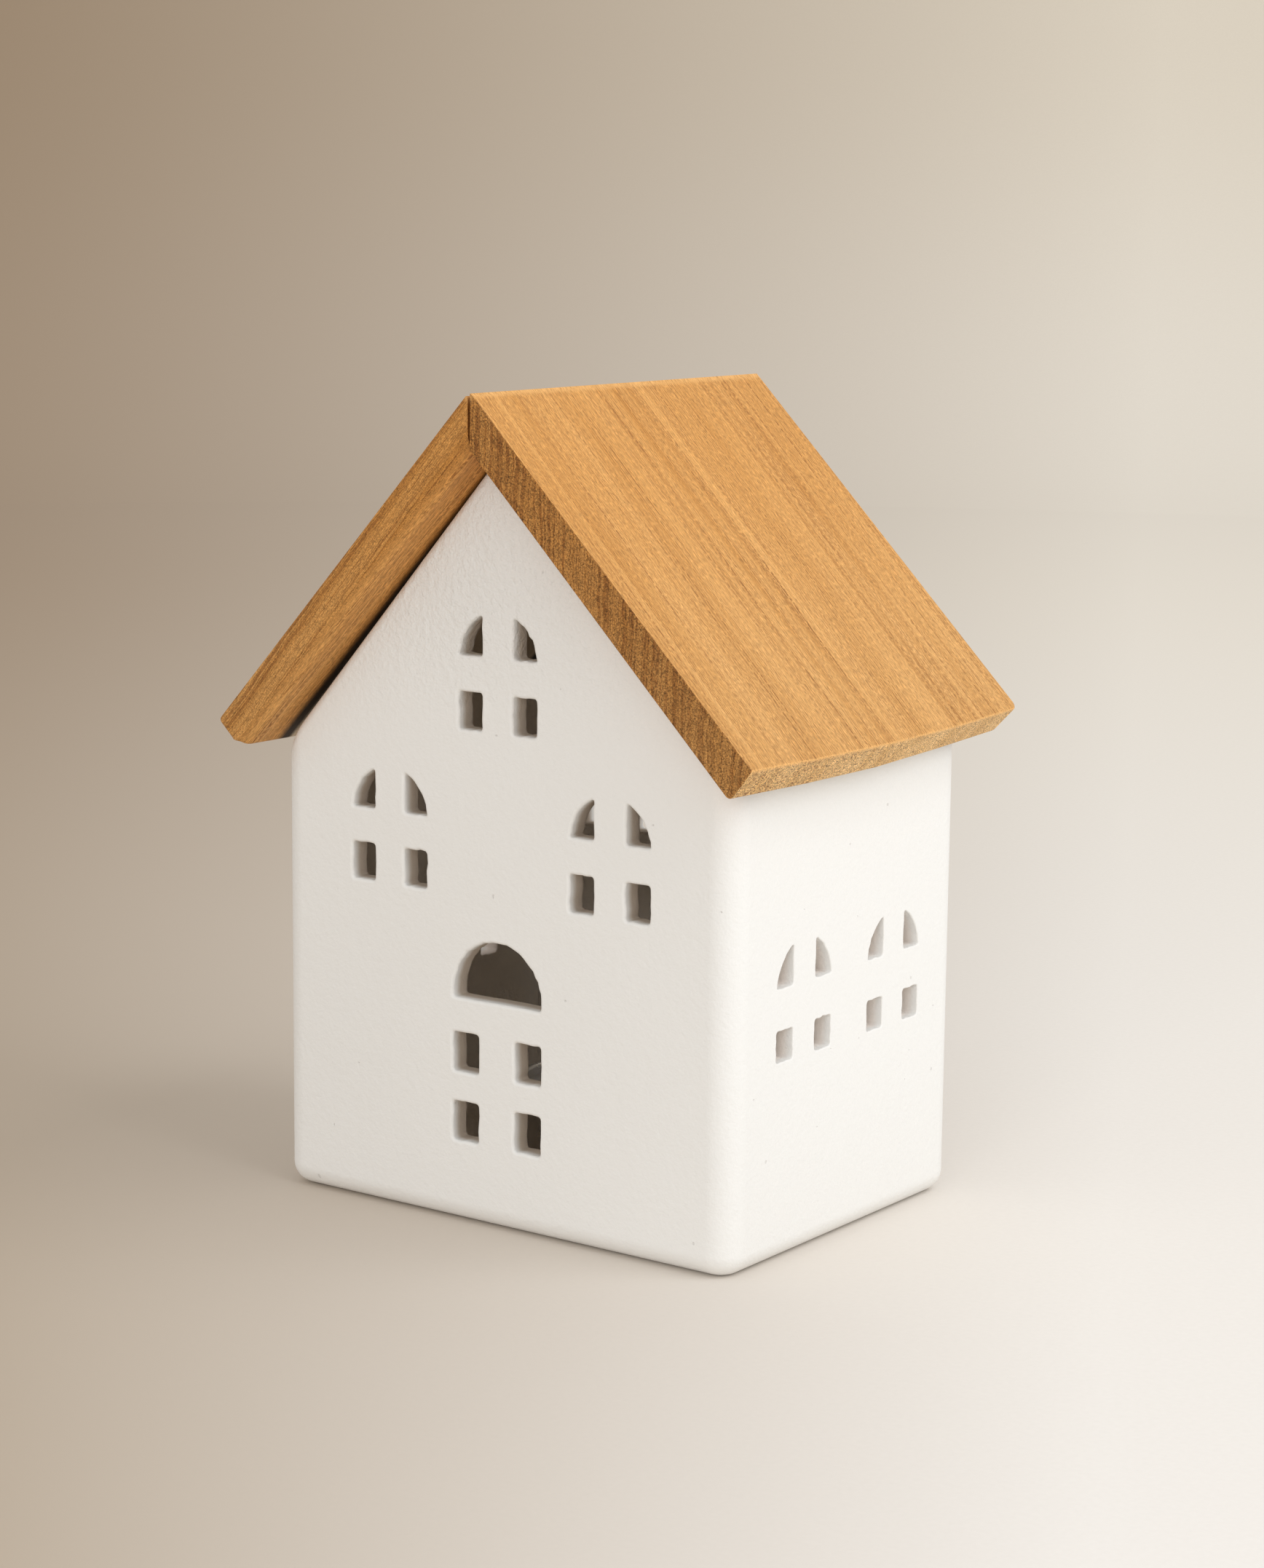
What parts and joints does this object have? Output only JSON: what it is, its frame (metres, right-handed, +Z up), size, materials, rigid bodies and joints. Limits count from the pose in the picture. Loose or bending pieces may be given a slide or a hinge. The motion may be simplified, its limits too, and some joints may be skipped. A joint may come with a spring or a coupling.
{
  "type": "tealight house",
  "caption": "White ceramic house lantern with arched windows cut through its walls, a loose gabled wooden roof that lifts off, and a tealight standing in the chamber.",
  "frame": {"origin": "middle of the flat base, on the surface that the house stands on", "axes": "+Z up; the gable with the door faces -Y; +X to the right seen from the front"},
  "size_m": [0.1152, 0.0868, 0.1476],
  "materials": {
    "bisque": "matte, unglazed",
    "roof_wood": "sanded and stained",
    "cup_aluminium": "pressed foil",
    "candle_wax": "smooth wax",
    "wick_cotton": "braided cotton",
    "sustainer_steel": "tinned"
  },
  "bodies": {
    "house": {"house_body": "bisque"},
    "roof": {"roof_board_left": "roof_wood", "roof_board_right": "roof_wood", "ridge_block": "roof_wood"},
    "tealight": {"tealight_cup": "cup_aluminium", "tealight_wax": "candle_wax", "tealight_wick": "wick_cotton", "wick_sustainer": "sustainer_steel"}
  },
  "joints": [
    {"name": "roof_lift", "type": "slide", "parent": "house", "child": "roof", "axis": [0, 0, 1], "range_m": [0, 0.1]},
    {"name": "tealight_lift", "type": "slide", "parent": "house", "child": "tealight", "axis": [0, 0, 1], "range_m": [0, 0.09]}
  ]
}
